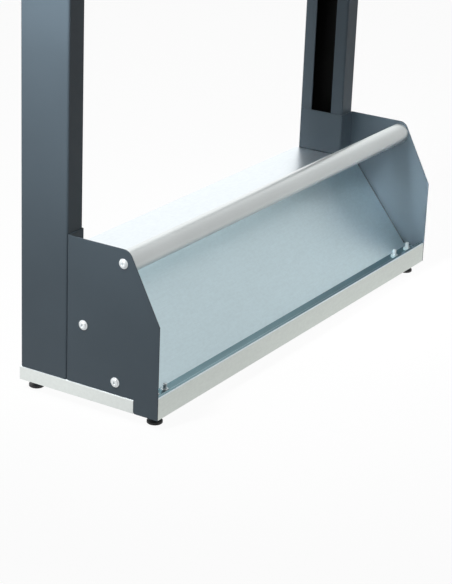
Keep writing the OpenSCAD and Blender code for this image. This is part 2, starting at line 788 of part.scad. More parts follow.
peg_nuts();
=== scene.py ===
"""Looks of the ski rack stand: finishes, rolled threads, weld beads and a plain studio."""
import json
import math

import bmesh
import bpy
from mathutils import Matrix, Vector


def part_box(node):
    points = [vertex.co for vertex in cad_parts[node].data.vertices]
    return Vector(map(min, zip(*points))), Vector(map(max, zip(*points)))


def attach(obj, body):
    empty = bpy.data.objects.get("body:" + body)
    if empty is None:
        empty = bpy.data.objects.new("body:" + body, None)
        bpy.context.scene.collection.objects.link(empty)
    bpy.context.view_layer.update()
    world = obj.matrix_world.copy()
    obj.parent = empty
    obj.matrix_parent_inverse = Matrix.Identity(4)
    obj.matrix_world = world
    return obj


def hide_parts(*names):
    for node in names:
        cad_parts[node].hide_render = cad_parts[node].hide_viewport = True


MM = 0.001
STAND = "stand"

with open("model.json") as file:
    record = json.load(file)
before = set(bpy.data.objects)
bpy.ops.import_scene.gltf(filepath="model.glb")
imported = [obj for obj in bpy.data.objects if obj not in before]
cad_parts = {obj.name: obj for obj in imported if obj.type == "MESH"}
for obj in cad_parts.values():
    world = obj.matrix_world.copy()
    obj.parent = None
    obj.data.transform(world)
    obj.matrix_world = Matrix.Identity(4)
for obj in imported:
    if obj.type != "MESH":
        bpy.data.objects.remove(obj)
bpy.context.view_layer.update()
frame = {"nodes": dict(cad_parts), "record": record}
nodes = frame["nodes"]


# Small helpers for node trees

def shade(color, factor):
    return tuple(channel * factor for channel in color)


def larger(tree, first, second):
    """The larger of two values that come out of other nodes."""
    node = tree.nodes.new("ShaderNodeMath")
    node.operation = "MAXIMUM"
    tree.links.new(first, node.inputs[0])
    tree.links.new(second, node.inputs[1])
    return node.outputs["Value"]


class Finish:
    """A material whose nodes are added one by one and end in one Principled shader."""

    def __init__(self, name):
        self.material = bpy.data.materials.new(name)
        self.material.use_nodes = True
        self.tree = self.material.node_tree
        self.tree.nodes.clear()
        output = self.tree.nodes.new("ShaderNodeOutputMaterial")
        self.shader = self.tree.nodes.new("ShaderNodeBsdfPrincipled")
        self.link(self.shader.outputs["BSDF"], output.inputs["Surface"])
        self.place = self.tree.nodes.new("ShaderNodeTexCoord").outputs["Object"]

    def link(self, source, target):
        self.tree.links.new(source, target)

    def stretched(self, scale):
        """The surface's place, scaled along x, y and z."""
        mapping = self.tree.nodes.new("ShaderNodeMapping")
        mapping.inputs["Scale"].default_value = scale
        self.link(self.place, mapping.inputs["Vector"])
        return mapping.outputs["Vector"]

    def noise(self, scale, detail, place=None):
        noise = self.tree.nodes.new("ShaderNodeTexNoise")
        noise.inputs["Scale"].default_value = scale
        noise.inputs["Detail"].default_value = detail
        self.link(place or self.place, noise.inputs["Vector"])
        return noise.outputs["Fac"]

    def spread(self, value, low, high, band=(0.0, 1.0)):
        """Turns a value that runs over a band into one that runs from low to high."""
        spread = self.tree.nodes.new("ShaderNodeMapRange")
        spread.inputs["From Min"].default_value = band[0]
        spread.inputs["From Max"].default_value = band[1]
        spread.inputs["To Min"].default_value = low
        spread.inputs["To Max"].default_value = high
        self.link(value, spread.inputs["Value"])
        return spread.outputs["Result"]

    def math(self, operation, first, second=0):
        """One calculation with two values; each is a number or comes out of another node."""
        node = self.tree.nodes.new("ShaderNodeMath")
        node.operation = operation
        for value, socket in ((first, node.inputs[0]), (second, node.inputs[1])):
            if isinstance(value, (int, float)):
                socket.default_value = value
            else:
                self.link(value, socket)
        return node.outputs["Value"]

    def tint(self, factor, first, second):
        """Mixes two fixed colours."""
        mix = self.tree.nodes.new("ShaderNodeMix")
        mix.data_type = "RGBA"
        mix.inputs["A"].default_value = (*first, 1)
        mix.inputs["B"].default_value = (*second, 1)
        self.link(factor, mix.inputs["Factor"])
        return mix.outputs["Result"]

    def toned(self, factor, base, dark, light):
        """The base colour, from dark to light times itself."""
        return self.tint(factor, shade(base, dark), shade(base, light))

    def between(self, factor, first, second):
        """Mixes two colours that come out of other nodes."""
        mix = self.tree.nodes.new("ShaderNodeMix")
        mix.data_type = "RGBA"
        self.link(factor, mix.inputs["Factor"])
        self.link(first, mix.inputs["A"])
        self.link(second, mix.inputs["B"])
        return mix.outputs["Result"]

    def inside(self, space):
        """1 where the surface lies inside a space, 0 elsewhere; left and right count alike.

        On each axis the place is compared with the space's middle; the third input is the half width.
        """
        axes = self.tree.nodes.new("ShaderNodeSeparateXYZ")
        self.link(self.place, axes.inputs["Vector"])
        across = self.math("ABSOLUTE", axes.outputs["X"])
        within = 1
        for value, (low, high) in zip((across, axes.outputs["Y"], axes.outputs["Z"]), space):
            middle, half_width = (low + high) / 2, (high - low) / 2
            near = self.math("COMPARE", value, middle)
            near.node.inputs[2].default_value = half_width
            within = self.math("MULTIPLY", near, within)
        return within

    def color(self, output):
        self.link(output, self.shader.inputs["Base Color"])

    def roughness(self, output):
        self.link(output, self.shader.inputs["Roughness"])

    def specular(self, output):
        self.link(output, self.shader.inputs["Specular IOR Level"])

    def metallic(self, value):
        self.shader.inputs["Metallic"].default_value = value

    def bumps(self, *heights):
        """Each height is (value, strength, distance); they are laid on top of each other."""
        normal = None
        for value, strength, distance in heights:
            bump = self.tree.nodes.new("ShaderNodeBump")
            bump.inputs["Strength"].default_value = strength
            bump.inputs["Distance"].default_value = distance
            self.link(value, bump.inputs["Height"])
            if normal:
                self.link(normal, bump.inputs["Normal"])
            normal = bump.outputs["Normal"]
        self.link(normal, self.shader.inputs["Normal"])


# Spaces where light or shade is painted onto a sheet, and their painted colours. Each space is the
# lowest and highest x, y and z in metres, with x counted from the middle towards either side.

# Painted shade: inside each post the powder coat is coloured near black and given less gloss, in
# place of the shade in the hollow channel.
POST_HOLLOW = ((0.4584, 0.4976), (0.0464, 0.1416), (0.07, 1.6))
HOLLOW_SHADE_DARKEST = (0.003, 0.003, 0.003)
HOLLOW_SHADE_LIGHTEST = (0.006, 0.006, 0.006)

# Painted reflection: the gutter floor and the flat of the fascia's lip are coloured dark teal, in
# place of the dark reflection they show.
GUTTER = ((0, 0.4945), (-0.1462, -0.108), (0.04, 0.0655))
FASCIA_LIP = ((0, 0.5), (-0.1462, -0.139), (0.06, 0.067))
GUTTER_REFLECTION_COLOR = (0.225, 0.345, 0.38)

# Painted highlight: a thin light line along the lip's edge beside the gutter.
LIP_EDGE = ((0, 0.5), (-0.1415, -0.14), (0.055, 0.067))
LIP_HIGHLIGHT_COLOR = (0.55, 0.66, 0.70)

# Painted light: the rear shelf's colour is set for how brightly it is lit, redder and less blue than
# the rest of the sheet.
SHELF = ((0, 0.4945), (0.037, 0.15), (0.224, 0.229))
SHELF_LIT_COLOR = (0.78, 0.835, 0.865)

# Painted shade: a near-black strip along the fold where the tray slope meets each side panel.
SIDE_SEAM = ((0.494, 0.5), (-0.104, 0.04), (0.05, 0.225))
SEAM_SHADE_COLOR = (0.05, 0.058, 0.062)

# Painted highlight: a light line along the fascia's top fold and along the top fold of each end rail.
FASCIA_FOLD = ((0, 0.5), (-0.149, -0.1462), (0.059, 0.0612))
END_RAIL_FOLD = ((0.4955, 0.5), (-0.15, 0.15), (0.0443, 0.048))
FOLD_HIGHLIGHT_COLOR = (0.83, 0.91, 0.94)


# Finishes. A noise's scale counts per metre. Most of its values lie in one of these bands, the
# wider one for rolled or brushed lines.

CLOUD_BAND = (0.3, 0.7)
LINE_BAND = (0.25, 0.75)


def powder_coat():
    """Satin anthracite powder coat: fine orange peel, faint clouds, and painted shade inside the
    posts: near black there, with less gloss.
    """
    coat = Finish("powder_coat_anthracite")
    base = (0.055, 0.0755, 0.093)
    clouds = coat.noise(scale=7, detail=4)
    specks = coat.spread(coat.noise(scale=1900, detail=1), -0.15, 0.15)
    tone = coat.math("ADD", coat.spread(clouds, 0, 0.7, CLOUD_BAND), specks)
    outside = coat.toned(tone, base, dark=0.93, light=1.08)
    # Painted shade inside the posts: near-black colour and weaker gloss.
    painted_shade = coat.tint(clouds, HOLLOW_SHADE_DARKEST, HOLLOW_SHADE_LIGHTEST)
    shaded_hollow = coat.inside(POST_HOLLOW)
    coat.color(coat.between(shaded_hollow, outside, painted_shade))
    coat.specular(coat.spread(shaded_hollow, 0.28, 0.08))
    coat.roughness(coat.spread(coat.noise(scale=60, detail=3), 0.36, 0.46, CLOUD_BAND))
    orange_peel = coat.noise(scale=520, detail=2)
    waves = coat.noise(scale=90, detail=2)
    coat.bumps((orange_peel, 0.35, 0.06 * MM), (waves, 0.2, 0.08 * MM))
    return coat.material


def galvanised(name, base, rough, painted_patches):
    """Zinc-coated sheet: fine grain, rolling lines, slow ripples. Each painted patch is a space and
    the colour of the light or shade painted there.
    """
    dark, light = 0.92, 1.06
    sheet = Finish(name)
    grain = sheet.noise(scale=170, detail=1, place=sheet.stretched((0.7, 1, 1)))
    rolling = sheet.noise(scale=46, detail=2, place=sheet.stretched((1, 14, 14)))
    clouds = sheet.noise(scale=5, detail=3)
    tone = sheet.spread(grain, 0, 0.3, CLOUD_BAND)
    tone = sheet.math("ADD", tone, sheet.spread(rolling, 0, 0.34, LINE_BAND))
    tone = sheet.math("ADD", tone, sheet.spread(clouds, 0, 0.36, CLOUD_BAND))
    surface = sheet.toned(tone, base, dark, light)
    for space, color in painted_patches:
        patch = sheet.toned(tone, color, dark, light)
        surface = sheet.between(sheet.inside(space), surface, patch)
    sheet.color(surface)
    sheet.roughness(sheet.spread(clouds, *rough, CLOUD_BAND))
    sheet.metallic(1.0)
    sheet.bumps((sheet.noise(scale=9, detail=1), 0.2, 0.5 * MM))
    return sheet.material


def brushed_tube():
    """Satin tube with fine brushing round its length."""
    tube = Finish("satin_tube")
    base = (0.71, 0.745, 0.745)
    brushing = tube.noise(scale=260, detail=4, place=tube.stretched((9, 1, 1)))
    clouds = tube.spread(tube.noise(scale=11, detail=3), 0, 0.5, CLOUD_BAND)
    tone = tube.math("ADD", tube.spread(brushing, 0, 0.5, LINE_BAND), clouds)
    tube.color(tube.toned(tone, base, dark=0.95, light=1.05))
    tube.roughness(tube.spread(brushing, 0.36, 0.45, LINE_BAND))
    tube.metallic(1.0)
    tube.bumps((brushing, 0.12, 0.04 * MM))
    return tube.material


def zinc():
    """Bright zinc plating on fasteners and studs."""
    plating = Finish("zinc_plating")
    base = (0.87, 0.91, 0.925)
    clouds = plating.noise(scale=160, detail=2)
    plating.color(plating.toned(clouds, base, dark=0.92, light=1.05))
    plating.roughness(plating.spread(clouds, 0.28, 0.38, CLOUD_BAND))
    plating.metallic(0.75)
    plating.bumps((plating.noise(scale=500, detail=1), 0.15, 0.04 * MM))
    return plating.material


def plastic(name, base, rough, grain):
    """Moulded black plastic or rubber with some dust and a fine grain, given as its noise scale."""
    moulded = Finish(name)
    moulded.color(moulded.toned(moulded.noise(scale=55, detail=4), base, dark=0.8, light=1.35))
    moulded.roughness(moulded.spread(moulded.noise(scale=240, detail=3), *rough, CLOUD_BAND))
    moulded.bumps((moulded.noise(scale=grain, detail=2), 0.4, 0.08 * MM))
    return moulded.material


FINISHES = {
    "powder_coat": powder_coat(),
    "galvanised": galvanised("galvanised_sheet", base=(0.705, 0.862, 0.915), rough=(0.29, 0.38),
                             painted_patches=((GUTTER, GUTTER_REFLECTION_COLOR), (SHELF, SHELF_LIT_COLOR),
                                      (SIDE_SEAM, SEAM_SHADE_COLOR))),
    "bar_tube": brushed_tube(),
    "zinc": zinc(),
    "black_plastic": plastic("black_plastic", (0.013, 0.013, 0.014), (0.42, 0.58), 1500),
    "sleeve_rubber": plastic("sleeve_rubber", (0.016, 0.016, 0.017), (0.55, 0.72), 900),
}
# Painted light: the fascia and the end rails get copies of the galvanised sheet with greyer, less
# blue base colours, set for how those parts are lit.
STRIP_LIT_COPY = galvanised("galvanised_strip_lit_copy", base=(0.735, 0.785, 0.745), rough=(0.3, 0.4),
                   painted_patches=((FASCIA_LIP, GUTTER_REFLECTION_COLOR), (LIP_EDGE, LIP_HIGHLIGHT_COLOR),
                            (FASCIA_FOLD, FOLD_HIGHLIGHT_COLOR)))
CHANNEL_LIT_COPY = galvanised("galvanised_channel_lit_copy", base=(0.78, 0.82, 0.80), rough=(0.32, 0.42),
                     painted_patches=((END_RAIL_FOLD, FOLD_HIGHLIGHT_COLOR),))


def dress(obj, material):
    obj.data.materials.clear()
    obj.data.materials.append(material)


for part in frame["record"]["subparts"]:
    dress(nodes[part["node"]], FINISHES[part["material_slot"]])
dress(nodes["front_fascia"], STRIP_LIT_COPY)
for name in ("left_end_rail", "right_end_rail", "front_rail", "rear_rail"):
    dress(nodes[name], CHANNEL_LIT_COPY)


# Edges: sheared and folded sheet has small rounded edges, which catch the light

SHARP = math.radians(32)
FLAT = math.radians(0.3)
SHORT_EDGE = 0.3 * MM
CORNER_ROOM = 1.5 * MM
SAME_POINT = 0.001 * MM
SAME_CORNER = 0.003 * MM
FLAT_FACE_WEIGHT = 100


def outer_edges(data):
    """Sharp outward edges of a mesh, each as its two ends, without those beside an inner corner."""
    mesh = bmesh.new()
    mesh.from_mesh(data)
    bmesh.ops.remove_doubles(mesh, verts=mesh.verts, dist=SAME_POINT)
    sharp = [edge for edge in mesh.edges if edge.is_manifold and edge.calc_face_angle(0) > SHARP]
    inner = [edge for edge in sharp if not edge.is_convex or edge.calc_length() < SHORT_EDGE]
    corners = [vert.co for edge in inner for vert in edge.verts]
    crowded = {vert for vert in mesh.verts
               if any((vert.co - corner).length < CORNER_ROOM for corner in corners)}
    outer = {frozenset(tuple(vert.co) for vert in edge.verts) for edge in sharp
             if edge.is_convex and not crowded.intersection(edge.verts)}
    mesh.free()
    return outer


def add_weld(obj, reach):
    weld = obj.modifiers.new("weld", "WELD")
    weld.merge_threshold = reach


def soften(obj, width, segments=2, join_flats=False):
    """Rounds the outer edges; join_flats first joins the triangles of each flat face."""
    data = obj.data
    outer = outer_edges(data)
    weights = data.attributes.new("bevel_weight_edge", "FLOAT", "EDGE")
    for edge, weight in zip(data.edges, weights.data):
        ends = frozenset(tuple(data.vertices[i].co) for i in edge.vertices)
        weight.value = 1.0 if ends in outer else 0.0
    add_weld(obj, SAME_POINT)
    if join_flats:
        flats = obj.modifiers.new("flats", "DECIMATE")
        flats.decimate_type = "DISSOLVE"
        flats.angle_limit = FLAT
    bevel = obj.modifiers.new("edges", "BEVEL")
    bevel.width = width
    bevel.segments = segments
    bevel.limit_method = "WEIGHT"
    bevel.use_clamp_overlap = False
    bevel.loop_slide = False
    add_weld(obj, SAME_CORNER)
    normals = obj.modifiers.new("normals", "WEIGHTED_NORMAL")
    normals.weight = FLAT_FACE_WEIGHT
    for face in data.polygons:
        face.use_smooth = True


SHEET_EDGE = 0.35 * MM
SMALL_EDGE = 0.2 * MM
BAR_EDGE = 1.2 * MM
SIDE_PANELS = ("left_side_panel", "right_side_panel")
SHEETS = ("left_post", "right_post", "left_end_rail", "right_end_rail", "front_fascia",
          "front_rail", "rear_rail", "drip_tray", "top_beam", "holder_rail",
          "left_beam_plate", "right_beam_plate", "left_post_cap", "right_post_cap",
          "left_holder_cap", "right_holder_cap", "left_holder_bracket", "right_holder_bracket")
SMALL_PARTS = ("foot_lock_nuts", "tray_side_nuts", "gutter_nuts", "frame_nuts", "post_base_nuts",
               "holder_nuts", "peg_nuts", "foot_bushes",
               "front_left_corner_plate", "front_right_corner_plate",
               "rear_left_corner_plate", "rear_right_corner_plate",
               "left_post_base_plate", "right_post_base_plate",
               "left_beam_slot_plate", "right_beam_slot_plate",
               "left_holder_slot_plate", "right_holder_slot_plate",
               "left_bar_plug", "right_bar_plug")

for name in SIDE_PANELS:
    soften(nodes[name], SHEET_EDGE, join_flats=True)
for name in SHEETS:
    soften(nodes[name], SHEET_EDGE)
soften(nodes["front_bar"], BAR_EDGE, segments=3)
for name in SMALL_PARTS:
    soften(nodes[name], SMALL_EDGE)


# Fasteners, in millimetres: lathe-turned heads, hexagons with chamfered corners, rolled threads

STUD_R = 4.0
THREAD_PITCH = 1.25
ROOT_R = STUD_R - 0.72
CREST_R = STUD_R - 0.03
TURN_STEPS = 28
ROUND_STEPS = 48
ROD_STEPS = 32
HEX_AF = 13.0
WASHER_R = 5.9
WASHER_H = 0.4
HEX_H = 4.9
HEX_HEAD_H = WASHER_H + HEX_H
HEAD_R = 9.0
HEAD_H = 4.4
RIM_H = 1.5
SOCKET_AF = 5.0
SOCKET_DEPTH = 2.6
ROD_IN_HEAD = 0.2


def angles_round(steps):
    return [2 * math.pi * i / steps for i in range(steps)]


def ring(mesh, radius_at, height, steps):
    """A closed ring of vertices round z; radius_at gives the radius for an angle."""
    return [mesh.verts.new((radius_at(a) * math.cos(a), radius_at(a) * math.sin(a), height))
            for a in angles_round(steps)]


def bridge(mesh, lower, upper):
    """Faces between two closed rows of vertices."""
    count = len(lower)
    for i in range(count):
        after = (i + 1) % count
        mesh.faces.new((lower[i], lower[after], upper[after], upper[i]))


def close_ends(mesh, rows):
    mesh.faces.new(list(reversed(rows[0])))
    mesh.faces.new(rows[-1])


def hexagon(af):
    """Radius of a hexagon across flats af, for an angle; a corner lies at angle 0."""
    sixth = math.pi / 3
    return lambda a: af / 2 / math.cos(a % sixth - sixth / 2)


def round_of(radius):
    return lambda a: radius


def stack(mesh, rings, steps=ROUND_STEPS):
    """Rings joined into one closed skin; each ring is (radius function, height)."""
    rows = [ring(mesh, radius_at, height, steps) for radius_at, height in rings]
    for lower, upper in zip(rows, rows[1:]):
        bridge(mesh, lower, upper)
    close_ends(mesh, rows)


def chamfered_hex(af, height, chamfer, both_ends):
    """Rings of a hexagon whose corners are turned off to a cone, from low to high."""
    wide = hexagon(af)
    face_inset = 0.3
    face_r = af / 2 - face_inset
    cone_slope = 1.9
    cone_steps = 3

    def turned(rise):
        return lambda a: min(wide(a), face_r + rise * cone_slope)

    rises = [chamfer * i / cone_steps for i in range(cone_steps + 1)]
    low = [(turned(r), r) for r in rises] if both_ends else [(wide, 0)]
    high = [(turned(r), height - r) for r in reversed(rises)]
    return low + high


def dome_head(rim_r, height, rim_h):
    """Flanged round head without its socket, seated on z = 0: first its rim, then its dome."""
    flange = 1.7
    crown = 3.7
    dome_r = rim_r - flange
    flat_r = dome_r - crown
    dome_steps = 9
    rim = ((0.25, 0), (0, 0.3), (0.1, 0.85), (0.6, 1.15), (flange, rim_h))
    rings = [(round_of(rim_r - inset), z) for inset, z in rim]
    for i in range(1, dome_steps + 1):
        angle = math.pi / 2 * i / dome_steps
        radius = flat_r + (dome_r - flat_r) * math.cos(angle)
        rings.append((round_of(radius), rim_h + (height - rim_h) * math.sin(angle)))
    return rings


def hex_socket(af, top, depth):
    """Rings that go down into a socket from the top of a head, with a drilled point."""
    lead_in = 0.25
    point_r = 0.2
    point_depth = 0.7
    key = hexagon(af)
    return [(hexagon(af + 2 * lead_in), top), (key, top - lead_in), (key, top - depth),
            (round_of(point_r), top - depth - point_depth)]


def thread(mesh, low, high):
    """A closed helical thread round z from low to high, with its first and last turns chamfered.

    The profile gives how far along one pitch each point of the root and the crest lies.
    """
    steps = TURN_STEPS
    core_r = ROOT_R - 0.25
    chamfer_r = ROOT_R - 0.15
    chamfer_slope = 0.9
    profile = ((0.0, ROOT_R), (0.22, ROOT_R), (0.5, CREST_R), (0.72, CREST_R))
    last = len(profile) - 1
    count = int(((high - low) / THREAD_PITCH - profile[last][0]) * steps)

    def at(step, radius, height):
        angle = 2 * math.pi * step / steps
        return mesh.verts.new((radius * math.cos(angle), radius * math.sin(angle), height))

    rows = []
    for step in range(count + 1):
        row = []
        for phase, radius in profile:
            height = low + THREAD_PITCH * (step / steps + phase)
            chamfer = chamfer_r + chamfer_slope * min(high - height, height - low)
            row.append(at(step, min(radius, chamfer), height))
        rows.append(row)
    for before, after in zip(rows, rows[1:]):
        for k in range(last):
            mesh.faces.new((before[k], after[k], after[k + 1], before[k + 1]))
    for step in range(count - steps):
        turn = step + steps
        mesh.faces.new((rows[step][last], rows[step + 1][last], rows[turn + 1][0], rows[turn][0]))
    foot = [at(step, core_r, low) for step in range(steps)]
    head = [at(step, core_r, high) for step in range(steps)]
    for step in range(steps):
        turn = count - steps + step
        mesh.faces.new((foot[step], foot[(step + 1) % steps], rows[step + 1][0], rows[step][0]))
        mesh.faces.new((rows[turn][last], rows[turn + 1][last],
                        head[(turn + 1) % steps], head[turn % steps]))
    mesh.faces.new([foot[0], *rows[0], rows[steps][0]])
    mesh.faces.new([head[count % steps], *reversed(rows[count]), rows[count - steps][last]])
    close_ends(mesh, (foot, head))


def place(mesh, start, at, axis):
    """Moves the vertices made since start from z-up millimetres to their place in metres."""
    turn = Vector((0, 0, 1)).rotation_difference(Vector(axis)).to_matrix()
    for vert in list(mesh.verts)[start:]:
        vert.co = turn @ (vert.co * MM) + Vector(at)


def rod(mesh, shank, threaded):
    """A bolt's shank under a head that is seated on z = 0, threaded at its far end."""
    plain_end = threaded - shank
    if shank > threaded:
        stack(mesh, [(round_of(STUD_R), plain_end), (round_of(STUD_R), ROD_IN_HEAD)], ROD_STEPS)
    thread(mesh, -shank, min(plain_end, 0))


def button_head(mesh):
    stack(mesh, dome_head(HEAD_R, HEAD_H, RIM_H) + hex_socket(SOCKET_AF, HEAD_H, SOCKET_DEPTH))


def hex_head(mesh):
    washer = [(round_of(WASHER_R), 0), (round_of(WASHER_R), WASHER_H)]
    hexes = chamfered_hex(HEX_AF, HEX_H, chamfer=0.7, both_ends=False)
    stack(mesh, washer + [(radius_at, WASHER_H + z) for radius_at, z in hexes])


def new_piece(name, build, material):
    """One object in the scene; build(mesh) adds its vertices in metres."""
    mesh = bmesh.new()
    build(mesh)
    bmesh.ops.recalc_face_normals(mesh, faces=mesh.faces)
    data = bpy.data.meshes.new(name)
    mesh.to_mesh(data)
    mesh.free()
    data.shade_smooth()
    piece = bpy.data.objects.new(name, data)
    bpy.context.scene.collection.objects.link(piece)
    dress(piece, material)
    return piece


def threaded_piece(node, build):
    """One object that stands for a node of fasteners."""
    piece = new_piece(node + "_threaded", build, FINISHES["zinc"])
    piece.data.set_sharp_from_angle(angle=math.radians(38))
    bodies = frame["record"]["behaviour"]["bodies"]
    body = next(name for name, members in bodies.items() if node in members)
    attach(piece, body)
    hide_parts(node)


def box_of(places):
    """Lowest and highest corner of a box round some places."""
    return [Vector([pick(co[i] for co in places) for i in range(3)]) for pick in (min, max)]


def solids_of(node):
    """Lowest and highest corner of each separate solid in a node."""
    mesh = bmesh.new()
    mesh.from_mesh(nodes[node].data)
    bmesh.ops.remove_doubles(mesh, verts=mesh.verts, dist=SAME_POINT)
    seen = set()
    boxes = []
    for first in mesh.verts:
        if first in seen:
            continue
        solid = set()
        waiting = {first}
        while waiting:
            vert = waiting.pop()
            solid.add(vert)
            waiting.update(edge.other_vert(vert) for edge in vert.link_edges)
            waiting -= solid
        seen |= solid
        boxes.append(box_of([vert.co for vert in solid]))
    mesh.free()
    return boxes


def bolts(node, make_head, head_h, head_towards, threaded):
    """Rebuilds each bolt of a node where its solid is; head_towards(x) is the head's direction."""
    def build(mesh):
        for low, high in solids_of(node):
            middle = (low + high) / 2
            axis = Vector(head_towards(middle.x))
            length = abs((high - low).dot(axis))
            seat = middle + axis * (length / 2 - head_h * MM)
            shank = length / MM - head_h
            start = len(mesh.verts)
            make_head(mesh)
            rod(mesh, shank, min(threaded, shank))
            place(mesh, start, seat, axis)
    threaded_piece(node, build)


def foot_stud(node):
    """Ball, hexagon collar and threaded rod of one levelling foot."""
    collar_low, collar_high = 9.5, 19.6
    collar_chamfer = 0.8
    ball_r = 6.0
    ball_steps = 14
    ball_rows = 9
    neck_r = 4.2
    core_r = STUD_R - 0.5
    core_below, core_above = 0.5, 1.0

    def build(mesh):
        (low, high), = solids_of(node)
        start = len(mesh.verts)
        ball_z = low.z / MM + ball_r
        ball = []
        for i in range(1, ball_rows + 1):
            angle = math.pi * i / ball_steps
            ball.append((round_of(ball_r * math.sin(angle)), ball_z - ball_r * math.cos(angle)))
        stack(mesh, ball + [(round_of(neck_r), collar_low)])
        hexes = chamfered_hex(HEX_AF, collar_high - collar_low, collar_chamfer, both_ends=True)
        stack(mesh, [(radius_at, collar_low + z) for radius_at, z in hexes])
        thread(mesh, collar_high, high.z / MM)
        stack(mesh, [(round_of(core_r), collar_high - core_below),
                     (round_of(core_r), collar_high + core_above)], ROD_STEPS)
        centre = ((low.x + high.x) / 2, (low.y + high.y) / 2, 0)
        place(mesh, start, centre, (0, 0, 1))
    threaded_piece(node, build)


def outward(x):
    return (math.copysign(1, x), 0, 0)


def inward(x):
    return (-math.copysign(1, x), 0, 0)


def forward(x):
    return (0, -1, 0)


def downward(x):
    return (0, 0, -1)


bolts("bar_bolts", button_head, HEAD_H, outward, threaded=20)
bolts("tray_side_bolts", button_head, HEAD_H, outward, threaded=14)
bolts("beam_bolts", button_head, HEAD_H, inward, threaded=14)
bolts("holder_slot_bolts", button_head, HEAD_H, inward, threaded=14)
bolts("holder_bolts", button_head, HEAD_H, forward, threaded=22)
bolts("gutter_bolts", hex_head, HEX_HEAD_H, downward, threaded=22)
bolts("frame_bolts", hex_head, HEX_HEAD_H, downward, threaded=20)
bolts("post_base_bolts", hex_head, HEX_HEAD_H, downward, threaded=20)
for corner in ("front_left", "front_right", "rear_left", "rear_right"):
    foot_stud(corner + "_foot_stud")


# Weld beads: a row of overlapping ripples along the line where two faces meet

BEAD_LEG = 3.2 * MM
BEAD_PITCH = 1.6 * MM
BEAD_STEP = 0.4 * MM
BEAD_ARC_STEPS = 6
BEAD_RIPPLE = 0.16
BEAD_FLATNESS = 0.24
BEAD_START = 0.35
BEAD_GROWTH = 0.25


def bead(mesh, path, along_a, along_b):
    """A fillet along a path; along_a(i) and along_b(i) give the two faces' directions at a point."""
    rows = []
    for i, point in enumerate(path):
        in_ripple = (i * BEAD_STEP / BEAD_PITCH) % 1
        from_end = min(i, len(path) - 1 - i)
        leg = BEAD_LEG * (1 - BEAD_RIPPLE + BEAD_RIPPLE * math.sqrt(1 - in_ripple ** 2))
        leg *= min(1, BEAD_START + BEAD_GROWTH * from_end)
        row = []
        for k in range(BEAD_ARC_STEPS + 1):
            angle = math.pi / 2 * k / BEAD_ARC_STEPS
            reach = leg * (1 - BEAD_FLATNESS + BEAD_FLATNESS * abs(math.cos(2 * angle)))
            away = along_a(i) * math.cos(angle) + along_b(i) * math.sin(angle)
            row.append(mesh.verts.new(point + away * reach))
        row.append(mesh.verts.new(point))
        rows.append(row)
    for before, after in zip(rows, rows[1:]):
        bridge(mesh, before, after)
    close_ends(mesh, rows)


def beam_welds(mesh):
    (low_x, low_y, low_z), (high_x, high_y, high_z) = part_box("top_beam")
    margin = 5 * MM
    steps = round((high_y - low_y - 2 * margin) / BEAD_STEP)
    for x, along in ((low_x, 1), (high_x, -1)):
        for z, rise in ((low_z, -1), (high_z, 1)):
            path = [Vector((x, low_y + margin + i * BEAD_STEP, z)) for i in range(steps)]
            inwards, away = Vector((along, 0, 0)), Vector((0, 0, rise))
            bead(mesh, path, lambda i: inwards, lambda i: away)


def bush_welds(mesh):
    for low, high in solids_of("foot_bushes"):
        centre = Vector(((low.x + high.x) / 2, (low.y + high.y) / 2, high.z))
        radius = (high.x - low.x) / 2
        steps = round(2 * math.pi * radius / BEAD_STEP)
        around = [Vector((math.cos(a), math.sin(a), 0)) for a in angles_round(steps)]
        path = [centre + way * radius for way in around]
        bead(mesh, path, lambda i: around[i], lambda i: Vector((0, 0, -1)))


def weld(name, slot, build):
    piece = new_piece(name, build, FINISHES[slot])
    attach(piece, STAND)


weld("beam_weld_beads", "powder_coat", beam_welds)
weld("bush_weld_beads", "galvanised", bush_welds)


# Studio: white floor, even surroundings, soft boxes

FLOOR_SIZE = 120
FLOOR_WHITE = 0.86
FLOOR_SHARE = 0.95
WALL_WHITE = 0.965
AMBIENT_COLOR = (0.95, 0.98, 1.0)
AMBIENT_STRENGTH = 0.1
FRONT_GREY = 0.68
FLOOR_GREYING = (-0.35, 0.25)  # from this y to that one, in metres
WALL_GREYING = (-0.35, 0.15)  # the same, of a direction


def greying(tree, place, front_back, path):
    """Strength of the studio's white: 1 for the camera, and for a gloss less towards the front."""
    axes = tree.nodes.new("ShaderNodeSeparateXYZ")
    tree.links.new(place, axes.inputs["Vector"])
    slope = tree.nodes.new("ShaderNodeMapRange")
    slope.interpolation_type = "SMOOTHSTEP"
    slope.inputs["From Min"].default_value = front_back[0]
    slope.inputs["From Max"].default_value = front_back[1]
    slope.inputs["To Min"].default_value = FRONT_GREY
    slope.inputs["To Max"].default_value = 1
    tree.links.new(axes.outputs["Y"], slope.inputs["Value"])
    return larger(tree, slope.outputs["Result"], path.outputs["Is Camera Ray"])


